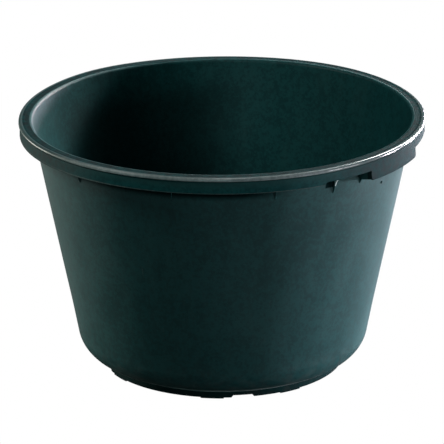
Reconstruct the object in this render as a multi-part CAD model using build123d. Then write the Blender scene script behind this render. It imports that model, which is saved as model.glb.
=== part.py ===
from build123d import *
import math
import os

# Round mortar mixing tub of polyethylene, about 65 litres to the brim.
# Millimetres, +Z up, origin on the floor under the centre of the base.
# The two hand grips lie on the X axis. Angles are degrees from +X about +Z.
#
# The real tub is one moulding. It is modelled as its moulded sections, each a
# closed solid that meets its neighbours face to face without overlapping.
# A "depth" is measured down from the top of the rim.

# ---------------------------------------------------------------- dimensions
HEIGHT = 380.0             # floor to top of rim

WALL_T = 3.2               # wall thickness, square to the surface
BASE_Z = 11.0              # underside of the base above the floor
BASE_R = 208.0             # where the wall line meets the base plane, unrounded
SHOULDER_R = 278.1         # outer radius of the wall at SHOULDER_Z
SHOULDER_Z = 354.5
CORNER_R = 47.0            # outer rounding between wall and base

GATE_R = 15.0              # moulding gate: round recess under the base centre
GATE_DEPTH = 0.9
STUB_R = 4.0               # cut-off stub in the recess
STUB_LENGTH = 1.6
STUB_OUT = 0.6             # the stub stands this far below the base

DIMPLE_R = 2.6             # blind dimple on the wall under each grip
DIMPLE_REACH = 2.2         # how far it goes into the wall
DIMPLE_DEPTH = 59.0

RIM_R = 300.0              # outermost radius of the rim bead
WALL_TOP_Z = HEIGHT - 9.0  # where the wall runs into the rim lip
FLANGE_T = 3.6             # thickness of the rim's top flange
LIP_IN_R = 5.0             # rounding on the inner edge of the rim
LIP_FILLET_R = 2.4         # fillet between the flange's underside and the wall
BEAD_R = 3.6               # rounding on the outer edge of the rim
BEAD_DEPTH = 5.4           # lower side of the outer bead
BEAD_IN = 294.6            # inner radius of the bead
BEAD_EDGE_R = 1.0          # rounding of the bead's lower edge and its inner corner

SKIRT_T = 3.2              # skirt thickness
SKIRT_R = 297.9            # skirt outer radius at its top, just under the groove
SKIRT_IN = SKIRT_R - SKIRT_T
SKIRT_FLARE = 1.0          # the skirt leans out this much towards its lower edge
SKIRT_DEPTH = 24.5         # skirt's lower edge
SKIRT_TOP_CHAMFER = 0.7
SKIRT_EDGE = 1.1           # size of the faceted rounding on the lower edge
SKIRT_FACET = (0.35, 0.3)  # its middle point: in from the side, up from the edge
NECK_R = 296.6             # outer radius at the bottom of the groove under the bead
GROOVE = 1.3               # height of that groove

GRIP_HALF = 12.2           # half the angle a grip covers: about 127 mm along the rim
GRIP_DEPTH = 34.6          # the grip's lower edge
GRIP_LIP = 5.5             # width of the inward lip along the grip's lower edge
GRIP_LIP_T = 2.6
GRIP_LIP_LIFT = 0.3        # lip's underside above the grip's lower edge
GRIP_LIP_OVERLAP = 0.6     # the lip runs this far into the band
GRIP_WEB_T = 3.0           # end webs of a grip
GRIP_WEB_DEPTH = 44.0      # where an end web meets the wall
GRIP_WEB_KNEE = 3.0        # its bend: below the grip's edge and out from the wall
GRIP_WEB_INSET = 0.02      # degrees between a web's outer face and the grip's end
GRIP_MID_DEPTH = 31.0      # where the shorter web behind the middle meets the wall
GRIP_MID_LIFT = 1.6        # that web's outer end above the grip's lower edge
WEB_OVERLAP = 0.8          # webs run this far into the band and the lip

RECESS_DEPTH = 20.4        # skirt's lower edge in the finger recesses beside each grip
RECESS_START = GRIP_HALF   # the recess, in degrees off the grip axis
RECESS_END = 28.6

GUSSET_T = 2.6             # also the thickness of the grip's middle web
GUSSET_ANGLES = [42.0, 73.5]    # one quarter, mirrored to the others
GRIP_GUSSET_ANGLES = [22.5]     # the ones beside the grips, which reach lower
# free edge of a gusset: (depth, stand-off from the wall)
GUSSET_EDGE = [
    (43.0, 0.0), (42.2, 0.7), (38.0, 1.5), (33.0, 2.3), (29.0, 3.4), (26.0, 5.0), (23.5, 8.5),
]
GUSSET_TOE_DEPTH = 20.0         # gusset's lower end at the skirt
GRIP_GUSSET_EDGE = [
    (48.0, 0.0), (47.0, 0.9), (42.0, 1.9), (35.0, 2.9),
    (29.5, 4.2), (26.0, 6.0), (23.5, 8.8), (21.4, 12.4),
]
GRIP_GUSSET_TOE_DEPTH = 17.8

FOOT_OUT = 179.0           # foot ring outer and inner radius
FOOT_IN = 174.0
FOOT_Z = 1.2               # lower edge of the foot ring
FOOT_OVERLAP = 2.5         # drawn this far above the base's underside, then trimmed
NOTCH_Z = 4.6              # top of the drain notches in the foot ring
NOTCH_ANGLES = [48.7]      # one quarter
NOTCH_WIDTH = 10.5         # degrees
PAD_ANGLES = [24.4, 63.2]  # one quarter
PAD_WIDTH = 11.0           # degrees
PAD_IN = 172.6
PAD_OUT = 179.4
PAD_CHAMFER = 0.5

# oversize of bodies that are trimmed or only cut with
PLATE_BURY = 4.0           # webs and gussets start this far inside the wall's outside
FILLER_Z = 40.0            # bottom of the cone that trims them
FILLER_ABOVE = 40.0        # its top above the rim
TRIM_BELOW = 20.0          # trimming skirt ring, below the real skirt
NOTCH_MARGIN = 4.0         # notch cutter beyond the foot ring, radially
NOTCH_BELOW = 2.0          # and downwards

# ---------------------------------------------------------------- derived levels
bead_z = HEIGHT - BEAD_DEPTH       # underside of the bead
groove_z = bead_z - GROOVE         # lower side of the groove
flange_z = HEIGHT - FLANGE_T       # underside of the flange
skirt_z = HEIGHT - SKIRT_DEPTH
grip_z = HEIGHT - GRIP_DEPTH

slope = (SHOULDER_R - BASE_R) / (SHOULDER_Z - BASE_Z)
draft = math.atan(slope)
sin_draft, cos_draft = math.sin(draft), math.cos(draft)


# ---------------------------------------------------------------- helpers
def wall_out(z):
    """Outer radius of the wall line."""
    return BASE_R + (z - BASE_Z) * slope


def wall_in(z):
    return wall_out(z) - WALL_T / cos_draft


def skirt_out(z):
    """Outer radius of the skirt, which leans out downwards."""
    return SKIRT_R + SKIRT_FLARE * (groove_z - z) / (groove_z - skirt_z)


def tangent_length(radius):
    """From a corner of 90 degrees + draft to where a rounding in it starts."""
    return radius / math.tan((math.pi / 2 + draft) / 2)


def across_wall(point):
    """The point on the wall's inside square across from one on its outside."""
    return (point[0] - WALL_T * cos_draft, point[1] + WALL_T * sin_draft)


def arc_points(centre, start, end):
    """Start, middle and end of the arc about centre."""
    start_angle = math.atan2(start[1] - centre[1], start[0] - centre[0])
    end_angle = math.atan2(end[1] - centre[1], end[0] - centre[0])
    middle = 0.5 * (start_angle + end_angle)
    radius = math.dist(centre, start)
    return (
        start,
        (centre[0] + radius * math.cos(middle), centre[1] + radius * math.sin(middle)),
        end,
    )


def turned(points, start=0, width=360):
    """An outline in radius and height, turned about Z from the start angle."""
    with BuildPart() as body:
        with BuildSketch(Plane.XZ):
            with BuildLine():
                Polyline(*points, points[0])
            make_face()
        revolve(axis=Axis.Z, revolution_arc=width)
    return body.part.rotate(Axis.Z, start)


def sector(inner, outer, low, high, angle, width):
    """A block of ring between two radii and two heights, centred on angle."""
    points = [(inner, low), (outer, low), (outer, high), (inner, high)]
    return turned(points, angle - width / 2, width)


def plate(points, thickness, angle):
    """A flat radial plate: outline in radius and height, centred on angle."""
    with BuildPart() as body:
        with BuildSketch(Plane.XZ):
            with BuildLine():
                Polyline(*points, points[0])
            make_face()
        extrude(amount=thickness / 2, both=True)
    return body.part.rotate(Axis.Z, angle)


def disc(radius, height, z):
    """An upright cylinder on the Z axis, standing on z."""
    align = (Align.CENTER, Align.CENTER, Align.MIN)
    return Cylinder(radius, height, align=align).translate((0, 0, z))


def all_quarters(angles):
    """Angles of the first quarter, mirrored to all four."""
    half_turn = angles + [180 - angle for angle in angles]
    return half_turn + [-angle for angle in half_turn]


# ---------------------------------------------------------------- section points
# (radius, height), shared by neighbouring pieces
corner_run = tangent_length(CORNER_R)
corner_wall_out = (BASE_R + corner_run * sin_draft, BASE_Z + corner_run * cos_draft)
corner_wall_in = across_wall(corner_wall_out)
corner_base_out = (BASE_R - corner_run, BASE_Z)
corner_base_in = (corner_base_out[0], BASE_Z + WALL_T)
corner_centre = (corner_base_out[0], BASE_Z + CORNER_R)

# wall top, cut square to the wall
wall_top_out = (wall_out(WALL_TOP_Z), WALL_TOP_Z)
wall_top_in = across_wall(wall_top_out)

# fillet under the flange: its end on the flange and its end on the wall
fillet_run = tangent_length(LIP_FILLET_R)
fillet_flange = (wall_out(flange_z) + fillet_run, flange_z)
fillet_wall = (
    wall_out(flange_z) - fillet_run * sin_draft,
    flange_z - fillet_run * cos_draft,
)


# ---------------------------------------------------------------- wall and base
def make_side_wall():
    wall = turned([corner_wall_out, wall_top_out, wall_top_in, corner_wall_in])
    z = HEIGHT - DIMPLE_DEPTH
    for angle in (0, 180):
        rod = Cylinder(DIMPLE_R, 2 * DIMPLE_REACH).rotate(Axis.Y, 90 + math.degrees(draft))
        wall = wall - rod.translate((wall_out(z), 0, z)).rotate(Axis.Z, angle)
    return wall


def make_base_corner():
    """The rounded ring between wall and base."""
    with BuildPart() as corner:
        with BuildSketch(Plane.XZ):
            with BuildLine():
                ThreePointArc(*arc_points(corner_centre, corner_wall_out, corner_base_out))
                Line(corner_base_out, corner_base_in)
                ThreePointArc(*arc_points(corner_centre, corner_base_in, corner_wall_in))
                Line(corner_wall_in, corner_wall_out)
            make_face()
        revolve(axis=Axis.Z, revolution_arc=360)
    return corner.part


def make_base_plate():
    base = disc(corner_base_out[0], WALL_T, BASE_Z)
    base = base - disc(GATE_R, GATE_DEPTH, BASE_Z)
    return base + disc(STUB_R, STUB_LENGTH, BASE_Z - STUB_OUT)


# ---------------------------------------------------------------- rim lip
def make_rim_lip():
    """Flange with the outer bead, down to the top of the wall."""
    # inner edge: rounding tangent to the wall's inside line and to the flat top
    run = tangent_length(LIP_IN_R)
    inner_low = (wall_in(HEIGHT) - run * sin_draft, HEIGHT - run * cos_draft)
    inner_top = (wall_in(HEIGHT) + run, HEIGHT)
    inner_centre = (inner_top[0], HEIGHT - LIP_IN_R)
    # outer bead
    bead_top = (RIM_R - BEAD_R, HEIGHT)
    bead_side = (RIM_R, HEIGHT - BEAD_R)
    bead_centre = (bead_top[0], bead_side[1])
    edge_side = (RIM_R, bead_z + BEAD_EDGE_R)
    edge_low = (RIM_R - BEAD_EDGE_R, bead_z)
    edge_centre = (edge_low[0], edge_side[1])
    # corner between the bead's inside and the flange's underside
    bead_inner_low = (BEAD_IN, bead_z)
    inside_bead = (BEAD_IN, flange_z - BEAD_EDGE_R)
    inside_flange = (BEAD_IN - BEAD_EDGE_R, flange_z)
    inside_centre = (inside_flange[0], inside_bead[1])
    fillet_centre = (fillet_flange[0], flange_z - LIP_FILLET_R)

    with BuildPart() as lip:
        with BuildSketch(Plane.XZ):
            with BuildLine():
                Line(wall_top_in, inner_low)
                ThreePointArc(*arc_points(inner_centre, inner_low, inner_top))
                Line(inner_top, bead_top)
                ThreePointArc(*arc_points(bead_centre, bead_top, bead_side))
                Line(bead_side, edge_side)
                ThreePointArc(*arc_points(edge_centre, edge_side, edge_low))
                Line(edge_low, bead_inner_low)
                Line(bead_inner_low, inside_bead)
                ThreePointArc(*arc_points(inside_centre, inside_bead, inside_flange))
                Line(inside_flange, fillet_flange)
                ThreePointArc(*arc_points(fillet_centre, fillet_flange, fillet_wall))
                Line(fillet_wall, wall_top_out)
                Line(wall_top_out, wall_top_in)
            make_face()
        revolve(axis=Axis.Z, revolution_arc=360)
    return lip.part


# ---------------------------------------------------------------- rim skirt
def band(low, angle, width):
    """Run of skirt down to low: groove under the bead, leaning out, rounded lower edge."""
    out = skirt_out(low)
    edge_out = skirt_out(low + SKIRT_EDGE)
    facet_in, facet_up = SKIRT_FACET
    points = [
        (SKIRT_IN, bead_z),
        (NECK_R, bead_z),
        (NECK_R, groove_z),
        (SKIRT_R - SKIRT_TOP_CHAMFER, groove_z),
        (SKIRT_R, groove_z - SKIRT_TOP_CHAMFER),
        (edge_out, low + SKIRT_EDGE),
        (out - facet_in, low + facet_up),
        (out - SKIRT_EDGE, low),
        (out - SKIRT_T + SKIRT_EDGE, low),
        (out - SKIRT_T + facet_in, low + facet_up),
        (edge_out - SKIRT_T, low + SKIRT_EDGE),
        (SKIRT_IN, groove_z),
    ]
    return turned(points, angle - width / 2, width)


def make_rim_skirt():
    """Two runs, each with a shallower finger recess at both ends."""
    recess_centre = 0.5 * (RECESS_START + RECESS_END)
    solids = []
    for angle in (90, 270):
        run = band(skirt_z, angle, 180 - 2 * RECESS_END)
        for side in (-1, 1):
            recess_angle = angle + side * (90 - recess_centre)
            run = run + band(HEIGHT - RECESS_DEPTH, recess_angle, RECESS_END - RECESS_START)
        solids += run.solids()
    return Compound(children=solids)


# ---------------------------------------------------------------- hand grips
# upper outline of every web and gusset: inside the bead, under the flange, into the wall
plate_top = [
    (BEAD_IN, bead_z),
    (BEAD_IN, flange_z - BEAD_EDGE_R),
    (BEAD_IN - BEAD_EDGE_R, flange_z),
    (fillet_flange[0], flange_z),
    (fillet_flange[0] - 0.5, flange_z - 6),
    (wall_out(HEIGHT - 12) - PLATE_BURY, HEIGHT - 12),
]


def make_grip(angle):
    inside = skirt_out(grip_z) - SKIRT_T
    lip_z = grip_z + GRIP_LIP_LIFT
    body = band(grip_z, 0, 2 * GRIP_HALF)
    # inward lip along the lower edge
    body = body + sector(
        inside - GRIP_LIP, inside + GRIP_LIP_OVERLAP,
        lip_z, lip_z + GRIP_LIP_T, 0, 2 * GRIP_HALF,
    )
    web_top = [(SKIRT_IN + WEB_OVERLAP, bead_z)] + plate_top

    # end webs back to the wall, inside the angle the grip covers
    foot_z = HEIGHT - GRIP_WEB_DEPTH
    knee_z = grip_z - GRIP_WEB_KNEE
    end_web = [
        (wall_out(foot_z) - PLATE_BURY, foot_z),
        (wall_out(foot_z), foot_z),
        (wall_out(knee_z) + GRIP_WEB_KNEE, knee_z),
        (inside + WEB_OVERLAP, lip_z),
    ] + web_top
    web_angle = GRIP_HALF - math.degrees(GRIP_WEB_T / 2 / RIM_R) - GRIP_WEB_INSET
    for side in (-1, 1):
        body = body + plate(end_web, GRIP_WEB_T, side * web_angle)

    # shorter web behind the middle, which ends above the grip's lower edge
    mid_z = HEIGHT - GRIP_MID_DEPTH
    middle_web = [
        (wall_out(mid_z) - PLATE_BURY, mid_z),
        (wall_out(mid_z), mid_z),
        (inside - GRIP_LIP + WEB_OVERLAP, grip_z + GRIP_MID_LIFT),
        (inside + WEB_OVERLAP, grip_z + GRIP_MID_LIFT),
    ] + web_top
    body = body + plate(middle_web, GUSSET_T, 0)

    body = body - tub_filler - rim_lip
    return body.rotate(Axis.Z, angle)


# ---------------------------------------------------------------- gussets under the rim
def make_rim_gussets():
    # full skirt ring that trims the gussets to the skirt's inside
    trim_ring = band(skirt_z - TRIM_BELOW, 0, 360)
    kinds = [
        (GRIP_GUSSET_ANGLES, GRIP_GUSSET_EDGE, GRIP_GUSSET_TOE_DEPTH),
        (GUSSET_ANGLES, GUSSET_EDGE, GUSSET_TOE_DEPTH),
    ]
    solids = []
    for angles, edge, toe_depth in kinds:
        foot_z = HEIGHT - edge[0][0]
        toe_z = HEIGHT - toe_depth
        outline = [(wall_out(foot_z) - PLATE_BURY, foot_z)]
        outline += [(wall_out(HEIGHT - depth) + off, HEIGHT - depth) for depth, off in edge]
        outline += [
            (skirt_out(toe_z) - SKIRT_T, toe_z),
            (SKIRT_IN, groove_z),
            (SKIRT_IN, bead_z),
        ] + plate_top
        for angle in all_quarters(angles):
            gusset = plate(outline, GUSSET_T, angle) - tub_filler - rim_lip - trim_ring
            # slivers left by the trimming are dropped
            solids += [solid for solid in gusset.solids() if solid.volume > 1]
    return Compound(children=solids)


# ---------------------------------------------------------------- foot ring and pads
def make_foot_ring():
    ring = sector(FOOT_IN, FOOT_OUT, FOOT_Z, BASE_Z + FOOT_OVERLAP, 180, 360)
    for angle in all_quarters(NOTCH_ANGLES):
        ring = ring - sector(
            FOOT_IN - NOTCH_MARGIN, FOOT_OUT + NOTCH_MARGIN,
            FOOT_Z - NOTCH_BELOW, NOTCH_Z, angle, NOTCH_WIDTH,
        )
    return ring - base_corner - base_plate


def make_floor_pads():
    """Pads under the foot ring, chamfered at the floor."""
    points = [
        (PAD_IN + PAD_CHAMFER, 0), (PAD_OUT - PAD_CHAMFER, 0),
        (PAD_OUT, PAD_CHAMFER), (PAD_OUT, FOOT_Z),
        (PAD_IN, FOOT_Z), (PAD_IN, PAD_CHAMFER),
    ]
    solids = []
    for angle in all_quarters(PAD_ANGLES):
        solids += turned(points, angle - PAD_WIDTH / 2, PAD_WIDTH).solids()
    return Compound(children=solids)


# ---------------------------------------------------------------- one file per section
# solid cone that fills the tub out to the wall's outside, for trimming
filler_top = HEIGHT + FILLER_ABOVE
tub_filler = turned([
    (0, FILLER_Z), (wall_out(FILLER_Z), FILLER_Z),
    (wall_out(filler_top), filler_top), (0, filler_top),
])
base_corner = make_base_corner()
base_plate = make_base_plate()
rim_lip = make_rim_lip()

nodes = {
    "side_wall": make_side_wall(),
    "base_corner": base_corner,
    "base_plate": base_plate,
    "rim_lip": rim_lip,
    "rim_skirt": make_rim_skirt(),
    "hand_grip_right": make_grip(0),
    "hand_grip_left": make_grip(180),
    "rim_gussets": make_rim_gussets(),
    "foot_ring": make_foot_ring(),
    "floor_pads": make_floor_pads(),
}
os.makedirs("parts", exist_ok=True)
for name, shape in nodes.items():
    shape.label = name
    export_step(shape, os.path.join("parts", name + ".step"))
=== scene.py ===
"""Round mortar mixing tub with a hanging rim skirt, two hand grips and a foot ring.

It stands upright on z = 0 with its axis on Z; the grips lie at +X (right) and -X (left), and the
camera looks from the -Y side. The shape code works in millimetres and in degrees from +X;
make_object turns lengths into metres. Shader, light and camera values are in metres.
"""
import math

import bmesh
import bpy
import numpy as np
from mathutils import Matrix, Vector


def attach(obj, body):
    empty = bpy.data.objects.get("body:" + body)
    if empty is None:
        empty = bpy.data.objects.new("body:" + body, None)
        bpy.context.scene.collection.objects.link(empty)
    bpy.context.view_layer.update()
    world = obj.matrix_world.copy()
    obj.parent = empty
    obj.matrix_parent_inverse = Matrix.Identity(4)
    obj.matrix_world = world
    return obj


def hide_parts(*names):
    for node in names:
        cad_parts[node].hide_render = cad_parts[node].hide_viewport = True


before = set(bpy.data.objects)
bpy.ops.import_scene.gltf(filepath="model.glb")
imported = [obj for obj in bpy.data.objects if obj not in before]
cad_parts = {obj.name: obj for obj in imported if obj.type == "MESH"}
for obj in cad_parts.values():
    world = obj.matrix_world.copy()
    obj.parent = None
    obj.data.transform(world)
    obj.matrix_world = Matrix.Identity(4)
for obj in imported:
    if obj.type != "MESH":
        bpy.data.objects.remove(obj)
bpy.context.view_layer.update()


# ------------------------------------------------------------------ main sizes
HEIGHT = 380.0
RIM_R = 300.0
WALL = 3.2
BASE_Z = 11.0              # underside of the base
BASE_R = 208.0             # where the outer wall line meets the base
SHOULDER_R = 278.1         # a second point of the outer wall line
SHOULDER_Z = 354.5
CORNER_R = 47.0
WALL_TOP_Z = HEIGHT - 9.0

LIP_T = 3.6
LIP_INNER_ROUND = 5.0
LIP_UNDER_ROUND = 2.4
BEAD_ROUND = 3.6
BEAD_DEPTH = 5.4
BEAD_IN = 294.6

SKIRT_T = 3.2
SKIRT_R = 297.9
SKIRT_FLARE = 1.0
SKIRT_DEPTH = 24.5
SKIRT_IN = SKIRT_R - SKIRT_T
NECK_R = 296.6             # bottom of the groove between bead and skirt
GROOVE = 1.3
RECESS_DEPTH = 20.4        # depth of the skirt beside the grips
RECESS_HALF = 28.6         # degrees

GRIP_HALF = 12.2           # degrees
GRIP_DEPTH = 34.6
GRIP_LIP = 5.5
GRIP_WEB_FOOT = 44.0       # below the rim's top
GRIP_MID_FOOT = 31.0
GRIP_WEB_T = 3.0
DIMPLE_DEPTH_BELOW = 59.0  # dimple centre below the rim's top

FOOT_OUT, FOOT_IN = 179.0, 174.0
FOOT_Z, NOTCH_Z = 1.2, 4.6
NOTCH_WIDTH = 10.5         # degrees
PAD_OUT, PAD_IN = 179.4, 172.6
PAD_WIDTH = 11.0           # degrees

slope = (SHOULDER_R - BASE_R) / (SHOULDER_Z - BASE_Z)
draft = math.atan(slope)
sin_draft, cos_draft = math.sin(draft), math.cos(draft)
FLANGE_Z = HEIGHT - LIP_T          # underside of the flange
SKIRT_TOP_Z = HEIGHT - BEAD_DEPTH
GROOVE_Z = SKIRT_TOP_Z - GROOVE
GRIP_Z = HEIGHT - GRIP_DEPTH


def wall_r(z):
    """Radius of the outer wall."""
    return BASE_R + (z - BASE_Z) * slope


def skirt_r(z):
    """Radius of the skirt's outer face, which flares downwards."""
    return SKIRT_R + SKIRT_FLARE * (GROOVE_Z - z) / (GROOVE_Z - (HEIGHT - SKIRT_DEPTH))


def angle_of(point, centre):
    return math.degrees(math.atan2(point[1] - centre[1], point[0] - centre[0]))


def both_sides(angles):
    """Angles in the +X half, then their mirror images in the -X half."""
    return [*angles, *(180 - a for a in reversed(angles))]


def off_centre(angle, centre):
    """Angle between two directions, 0 to 180 degrees."""
    return abs((angle - centre + 180) % 360 - 180)


GUSSET_ANGLES = both_sides((22.5, 42.0, 73.5))
NOTCH_ANGLES = [side * a for side in (1, -1) for a in both_sides((48.7,))]
PAD_ANGLES = [side * a for side in (1, -1) for a in both_sides((24.4, 63.2))]

# points (r, z) where the wall meets the base corner and the rim lip
tangent = CORNER_R / math.tan((math.pi / 2 + draft) / 2)
CORNER_TOP = (BASE_R + tangent * sin_draft, BASE_Z + tangent * cos_draft)
CORNER_FOOT = (BASE_R - tangent, BASE_Z)
CORNER_TOP_IN = (CORNER_TOP[0] - WALL * cos_draft, CORNER_TOP[1] + WALL * sin_draft)
WALL_TOP = (wall_r(WALL_TOP_Z), WALL_TOP_Z)
WALL_TOP_IN = (WALL_TOP[0] - WALL * cos_draft, WALL_TOP[1] + WALL * sin_draft)

# centre of the small rounding where the wall turns into the flange's underside
under_tangent = LIP_UNDER_ROUND / math.tan((math.pi / 2 + draft) / 2)
UNDER_CENTRE = (wall_r(FLANGE_Z) + under_tangent, FLANGE_Z - LIP_UNDER_ROUND)
UNDER_START = (wall_r(FLANGE_Z) - under_tangent * sin_draft, FLANGE_Z - under_tangent * cos_draft)

# ------------------------------------------------------------------ how the moulding is out of true
# amplitude, waves round the tub, phase
OUT_OF_ROUND = ((0.9, 2, 0.7), (0.45, 3, -1.1))
OUT_OF_FLAT = ((0.30, 2, 2.4), (-0.22, 3, 0.4), (1.1, 1, -math.radians(32.0)))
# amplitude, waves round the tub, turn per mm of height, phase
WALL_WAVES = ((0.22, 5, 0.011, 0.3), (0.16, 8, -0.017, 2.0),
              (0.11, 13, 0.024, 4.1), (0.07, 21, -0.031, 1.2))
# angle, width, amount upwards
RIM_DIPS = ((125.0, 38.0, -1.9), (-138.0, 32.0, -1.6), (78.0, 26.0, 0.9), (163.0, 14.0, 0.8))
# angle, width, amount outwards
RIM_BULGE = (-140.0, 34.0, 1.0)
WALL_HOLLOW = (-148.0, 30.0, -0.7)


def smooth(start, end, value):
    """Smooth step from 0 at start to 1 at end."""
    share = np.clip((value - start) / (end - start), 0, 1)
    return share * share * (3 - 2 * share)


def warp(points):
    """Puts the rim a little out of flat and out of round, and makes the wall a little wavy."""
    x, y, z = np.asarray(points, float).T
    phi = np.arctan2(y, x)
    radius = np.hypot(x, y)
    rising = smooth(60, 380, z)
    body = smooth(30, 110, z) * (1 - 0.75 * smooth(300, 372, z))
    top = smooth(325, 372, z)

    def waves(table):
        return sum(size * np.cos(count * phi + phase) for size, count, phase in table)

    def bump(centre, width, amount):
        turn = (phi - math.radians(centre) + math.pi) % (2 * math.pi) - math.pi
        return amount * np.exp(-((turn / math.radians(width)) ** 2))

    wavy = sum(size * np.sin(count * phi + twist * z + phase)
               for size, count, twist, phase in WALL_WAVES)
    swell = 0.35 * np.sin(0.014 * z + 0.6) * np.cos(2 * phi + 2.2)
    outwards = rising * waves(OUT_OF_ROUND) + body * (wavy + swell)
    outwards += top * bump(*RIM_BULGE) + body * bump(*WALL_HOLLOW)
    upwards = rising * waves(OUT_OF_FLAT) + top * sum(bump(*dip) for dip in RIM_DIPS)
    stretch = np.where(radius > 1e-6, outwards / np.maximum(radius, 1e-6), 0.0)
    return np.stack([x * (1 + stretch), y * (1 + stretch), z + upwards], 1)


def warp_normals(points, normals):
    """Normals at undeformed points, carried through warp."""
    step = 0.5
    jacobian = np.zeros((len(points), 3, 3))
    for axis in range(3):
        shift = np.zeros(3)
        shift[axis] = step
        jacobian[:, :, axis] = (warp(points + shift) - warp(points - shift)) / (2 * step)
    carried = np.einsum("nij,nj->ni", np.linalg.inv(jacobian).transpose(0, 2, 1), normals)
    return carried / np.maximum(np.linalg.norm(carried, axis=1, keepdims=True), 1e-12)


# ------------------------------------------------------------------ sections and sweeps
class Section:
    """A chain of edges in (r, z). Each edge keeps the surface normal at both of its ends, so a
    rounding shades as round."""

    def __init__(self, start):
        self.points = [tuple(start)]
        self.normals = []
        self.straight = []      # edges whose normals closed() may turn round

    def edge(self, to, normal_start, normal_end):
        self.points.append(tuple(to))
        self.normals.append((normal_start, normal_end))

    def line_at(self, to, stops):
        """A straight run with stops given as shares of its length."""
        start, end = np.array(self.points[-1], float), np.array(to, float)
        run = end - start
        length = np.hypot(*run)
        normal = (run[1] / length, -run[0] / length)
        for share in [*stops, 1.0]:
            self.straight.append(len(self.normals))
            self.edge(start + run * share, normal, normal)

    def line(self, to, parts=1):
        self.line_at(to, [k / parts for k in range(1, parts)])

    def arc(self, centre, radius, start, end, parts, inside=False):
        """Arc between two angles. Normals point away from the centre, or to it where inside."""
        sign = -1 if inside else 1
        turns = np.radians(np.linspace(start, end, parts + 1))
        normals = [(sign * math.cos(t), sign * math.sin(t)) for t in turns]
        for k in range(1, parts + 1):
            to = (centre[0] + radius * math.cos(turns[k]), centre[1] + radius * math.sin(turns[k]))
            self.edge(to, normals[k - 1], normals[k])

    def closed(self):
        """Drops the last point, which repeats the first; turns straight runs' normals outwards."""
        self.points = self.points[:-1]
        r, z = np.array(self.points).T
        if np.sum(r * np.roll(z, -1) - np.roll(r, -1) * z) < 0:
            for i in self.straight:
                normal = self.normals[i][0]
                self.normals[i] = ((-normal[0], -normal[1]),) * 2
        return self


def sweep(sections, angles, full_ring=False):
    """Joins sections, one per angle, round the Z axis. A run that isn't a full ring gets caps."""
    rows, count = len(angles), len(sections[0].points)
    turns = np.radians(np.asarray(angles, float))
    cos, sin = np.cos(turns)[:, None], np.sin(turns)[:, None]

    def spin(flat):
        return np.stack([flat[:, :, 0] * cos, flat[:, :, 0] * sin, flat[:, :, 1]], 2)

    vertices = spin(np.array([s.points for s in sections], float)).reshape(-1, 3)
    edge_normals = np.array([s.normals for s in sections], float)
    at_start, at_end = spin(edge_normals[:, :, 0]), spin(edge_normals[:, :, 1])
    row = np.arange(rows if full_ring else rows - 1)[:, None]
    next_row = (row + 1) % rows
    i = np.arange(count)[None, :]
    next_i = (i + 1) % count
    quads = np.stack([row * count + i, next_row * count + i,
                      next_row * count + next_i, row * count + next_i], 2).reshape(-1, 4)
    here, there = row[:, 0], next_row[:, 0]
    normals = np.stack([at_start[here], at_start[there], at_end[there], at_end[here]], 2)
    normals = normals.reshape(-1, 4, 3)
    corners = vertices[quads]
    area = np.cross(corners, np.roll(corners, -1, axis=1)).sum(1)
    flip = np.einsum("ij,ij->i", area, normals.mean(1)) < 0
    quads[flip] = quads[flip][:, ::-1]
    normals[flip] = normals[flip][:, ::-1]
    faces = [tuple(quad) for quad in quads.tolist()]
    all_normals = [normals.reshape(-1, 3)]
    if not full_ring:
        for end, way in ((0, -1), (rows - 1, 1)):
            normal = np.array([-math.sin(turns[end]) * way, math.cos(turns[end]) * way, 0.0])
            loop = [end * count + k for k in range(count)]
            area = np.cross(vertices[loop], np.roll(vertices[loop], -1, axis=0)).sum(0)
            faces.append(tuple(loop if np.dot(area, normal) > 0 else loop[::-1]))
            all_normals.append(np.repeat(normal[None, :], count, 0))
    return vertices, faces, np.concatenate(all_normals)


def revolve(section, angles=tuple(np.arange(0, 360, 1.0))):
    return sweep([section] * len(angles), angles, full_ring=True)


def joined(parts):
    """Several (vertices, faces) or (vertices, faces, normals) as one."""
    faces, start = [], 0
    for part in parts:
        faces += [tuple(i + start for i in face) for face in part[1]]
        start += len(part[0])
    vertices = np.concatenate([part[0] for part in parts])
    if len(parts[0]) == 2:
        return vertices, faces
    return vertices, faces, np.concatenate([part[2] for part in parts])


# ------------------------------------------------------------------ objects
pieces = {}


def link_mesh(name, vertices, faces):
    mesh = bpy.data.meshes.new(name)
    mesh.from_pydata([tuple(v) for v in vertices], [], faces)
    mesh.update()
    ob = bpy.data.objects.new(name, mesh)
    bpy.context.scene.collection.objects.link(ob)
    return ob


def corner_indices(faces):
    return np.fromiter((i for face in faces for i in face), int)


def set_normals(mesh, normals):
    mesh.normals_split_custom_set([tuple(n) for n in normals])


def make_object(node, vertices, faces, normals=None):
    """Warps a shape in mm, makes it an object in metres and files it under its CAD node's name."""
    ob = link_mesh("tub_" + node, warp(vertices) / 1000.0, faces)
    ob.data.polygons.foreach_set("use_smooth", [True] * len(ob.data.polygons))
    if normals is not None:
        set_normals(ob.data, warp_normals(vertices[corner_indices(faces)], normals))
    pieces[node] = ob
    return ob


def sharpen_edges(ob, degrees):
    """Marks edges that bend by more than the angle as sharp."""
    shape = bmesh.new()
    shape.from_mesh(ob.data)
    for edge in shape.edges:
        flat = len(edge.link_faces) == 2 and edge.calc_face_angle(0) < math.radians(degrees)
        edge.smooth = flat
    shape.to_mesh(ob.data)
    shape.free()


# ------------------------------------------------------------------ side wall
DIMPLE_STEP = 0.4        # mesh spacing round a dimple
DIMPLE_SINK = 2.2
DIMPLE_EDGE = (1.9, 2.75)  # radii where the dimple's side starts and ends
DIMPLE_RING = (0.12, 3.1, 0.35)  # height, radius and width of the raised ring round it


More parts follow.
